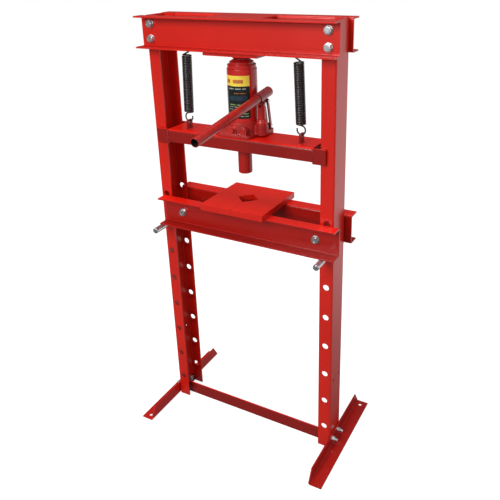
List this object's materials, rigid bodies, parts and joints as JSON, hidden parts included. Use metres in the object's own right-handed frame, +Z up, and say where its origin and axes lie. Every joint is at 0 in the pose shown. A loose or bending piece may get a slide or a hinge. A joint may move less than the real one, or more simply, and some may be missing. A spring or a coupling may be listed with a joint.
{
  "type": "workshop hydraulic press",
  "caption": "Floor-standing hydraulic shop press with an H-frame, height-adjustable bed, arbor plates and a sprung carriage with a bottle jack.",
  "frame": {"origin": "on the floor, midway between the two uprights and midway between their front and rear flanges", "axes": "+X to the right seen from the front, where the handle points; +Y to the back; +Z up along the uprights"},
  "size_m": [0.668, 0.5284, 1.318],
  "materials": {
    "frame_paint": "gloss",
    "jack_paint": "gloss",
    "zinc": "zinc plated",
    "bright_steel": "satin",
    "spring_black": "satin",
    "rubber_plug": "matte"
  },
  "bodies": {
    "frame": {"upright_left": "frame_paint", "upright_right": "frame_paint", "crossmember_front": "frame_paint", "crossmember_rear": "frame_paint", "top_plate": "frame_paint", "head_plate": "frame_paint", "crossmember_bolts": "zinc", "crossmember_washers": "zinc", "crossmember_nuts": "zinc", "spring_ears": "frame_paint", "base_spreader": "frame_paint", "foot_left": "frame_paint", "foot_right": "frame_paint", "foot_bolts": "zinc", "foot_nuts": "zinc", "jack_piston": "bright_steel", "jack_saddle": "jack_paint", "spring_left": "spring_black", "spring_right": "spring_black"},
    "bed": {"bed_channel_front": "frame_paint", "bed_channel_rear": "frame_paint", "bed_tie_bolts": "zinc", "bed_tie_washers": "zinc", "bed_tie_nuts": "zinc", "bed_spacers": "frame_paint", "arbor_plate_left": "frame_paint", "arbor_plate_right": "frame_paint"},
    "pin_left": {"support_pin_left": "zinc"},
    "pin_right": {"support_pin_right": "zinc"},
    "carriage": {"carriage_beam": "frame_paint", "carriage_guides_left": "frame_paint", "carriage_guides_right": "frame_paint", "spring_tabs": "frame_paint", "ram": "frame_paint", "jack_base": "jack_paint", "jack_tank": "jack_paint", "jack_cap": "jack_paint", "filler_plug": "rubber_plug", "valve_plug": "jack_paint", "pump_barrel": "jack_paint", "link_base_pin": "bright_steel"},
    "valve": {"release_valve": "jack_paint"},
    "plunger": {"pump_plunger": "jack_paint", "plunger_pin": "bright_steel"},
    "link": {"link_straps": "jack_paint"},
    "handle": {"handle_socket": "jack_paint", "link_top_pin": "bright_steel", "handle_tube": "jack_paint"}
  },
  "joints": [
    {"name": "carriage_slide", "type": "slide", "parent": "frame", "child": "carriage", "axis": [0, 0, -1], "range_m": [0, 0.06], "stiffness_N_per_m": 2000, "springref_m": -0.09, "deforming": ["spring_left", "spring_right"]},
    {"name": "bed_lift", "type": "slide", "parent": "frame", "child": "bed", "axis": [0, 0, 1], "range_m": [0, 0.02]},
    {"name": "pin_left_slide", "type": "slide", "parent": "frame", "child": "pin_left", "axis": [0, -1, 0], "range_m": [0, 0.15]},
    {"name": "pin_right_slide", "type": "slide", "parent": "frame", "child": "pin_right", "axis": [0, -1, 0], "range_m": [0, 0.15]},
    {"name": "plunger_slide", "type": "slide", "parent": "carriage", "child": "plunger", "axis": [0, 0, -1], "range_m": [-0.0025, 0.0145]},
    {"name": "handle_swing", "type": "hinge", "parent": "plunger", "child": "handle", "pos_m": [0.0545, 0, 1.0855], "axis": [1, 0, 0], "range_deg": [-5, 32]},
    {"name": "link_swing", "type": "hinge", "parent": "carriage", "child": "link", "pos_m": [0.0545, 0.03888, 1.01634], "axis": [1, 0, 0], "range_deg": [-1, 4.2]},
    {"name": "valve_turn", "type": "hinge", "parent": "carriage", "child": "valve", "pos_m": [-0.0115, -0.05, 1.0155], "axis": [0, -1, 0], "range_deg": [0, 360]}
  ],
  "couplings": [
    {"joint": "plunger_slide", "follows": "handle_swing", "m_per_rad": 0.025},
    {"joint": "link_swing", "follows": "handle_swing", "ratio": 0.124}
  ]
}
